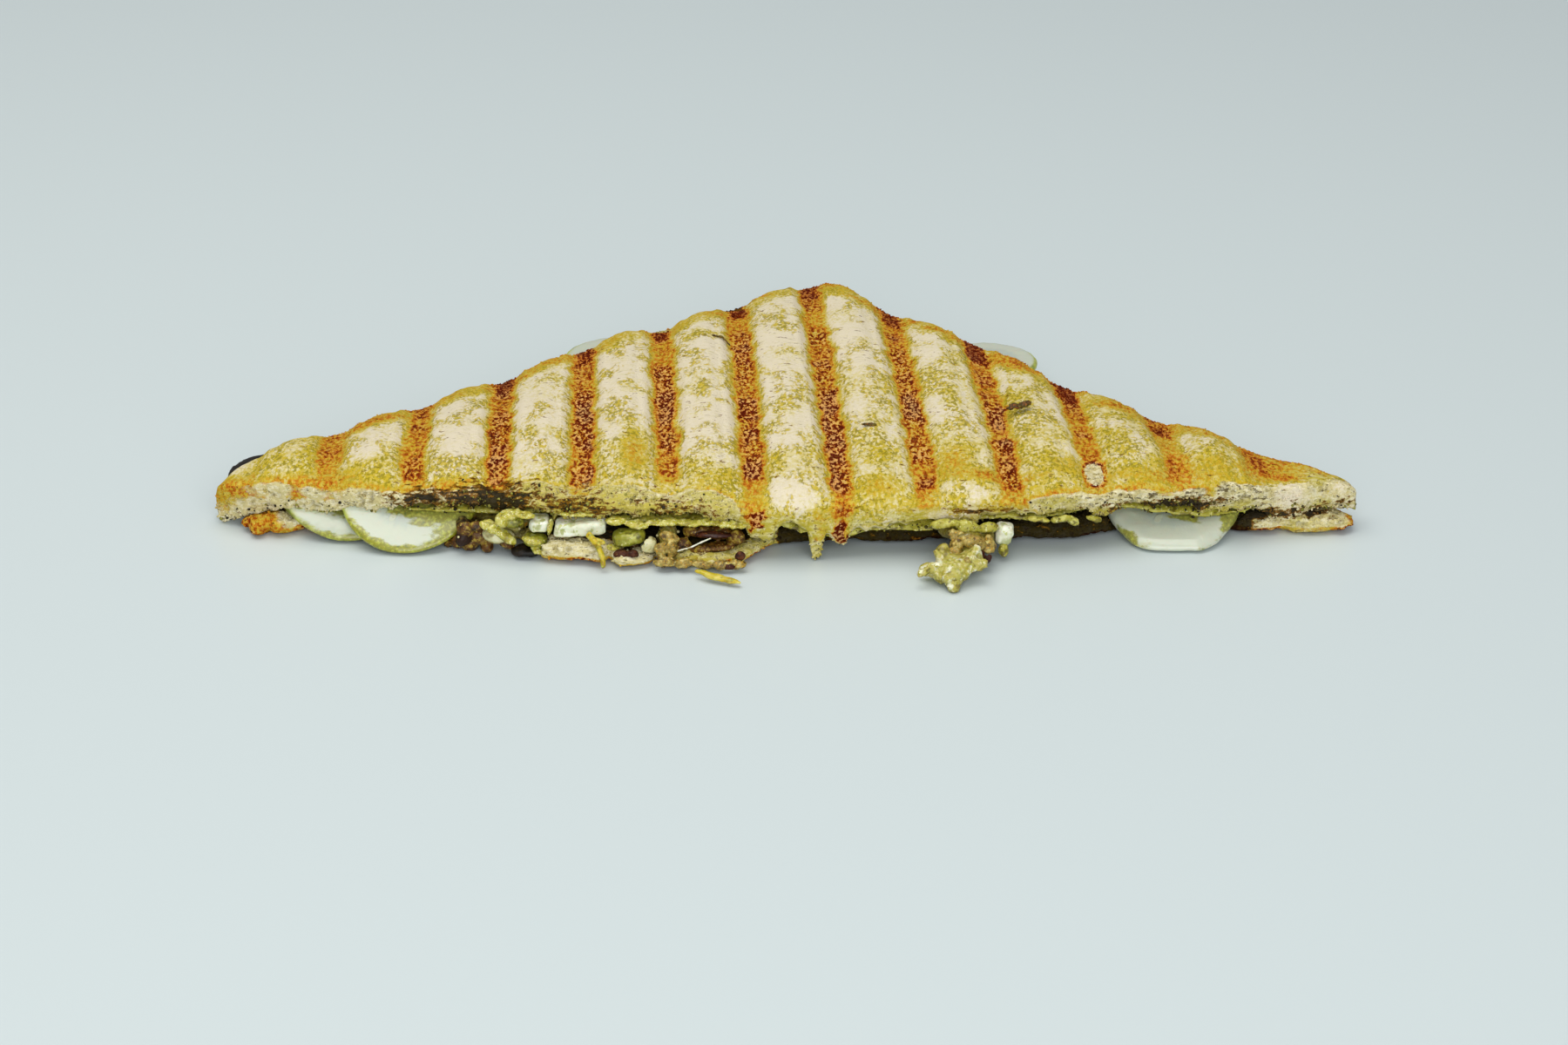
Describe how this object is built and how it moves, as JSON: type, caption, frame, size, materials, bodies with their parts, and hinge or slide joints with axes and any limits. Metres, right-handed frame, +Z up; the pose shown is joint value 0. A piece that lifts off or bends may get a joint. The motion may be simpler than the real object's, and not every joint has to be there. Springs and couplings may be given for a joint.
{
  "type": "green chutney sandwich half",
  "caption": "Triangular half of a grilled green chutney sandwich with grill grooves, cucumber slices and a crumbly filling showing at the cut.",
  "frame": {"origin": "middle of the bounding box in X and Y, on the surface that the sandwich lies on", "axes": "+X along the cut edge, to the right as seen from the cut side; +Y from the cut towards the bread's own corner; +Z up"},
  "size_m": [0.1692, 0.1044, 0.0135],
  "materials": {
    "bread": "dry, granular, toasted brown in the grooves",
    "chutney": "wet, finely chopped herbs",
    "filling": "moist and crumbly",
    "cucumber": "wet, slightly see-through",
    "beet": "wet and dark",
    "potato": "moist and waxy",
    "pepper": "wet",
    "onion": "wet, slightly see-through",
    "fried_onion": "oily",
    "shred": "soft"
  },
  "bodies": {
    "root": {"bread_top": "bread", "bread_bottom": "bread", "chutney": "chutney", "filling": "filling", "filling_heap": "filling", "cucumber_left_outer": "cucumber", "cucumber_left_inner": "cucumber", "cucumber_right": "cucumber", "cucumber_back_right": "cucumber", "cucumber_back_left": "cucumber", "beet_slice_left": "beet", "beet_slice_front": "beet", "potato_cube_small": "potato", "potato_cube_large": "potato", "potato_cube_right": "potato", "green_lump": "pepper", "pepper_wedge": "pepper", "green_chunk": "pepper", "onion_petal": "onion", "onion_dice": "onion", "onion_strip": "fried_onion", "yellow_shred": "shred"}
  },
  "joints": []
}
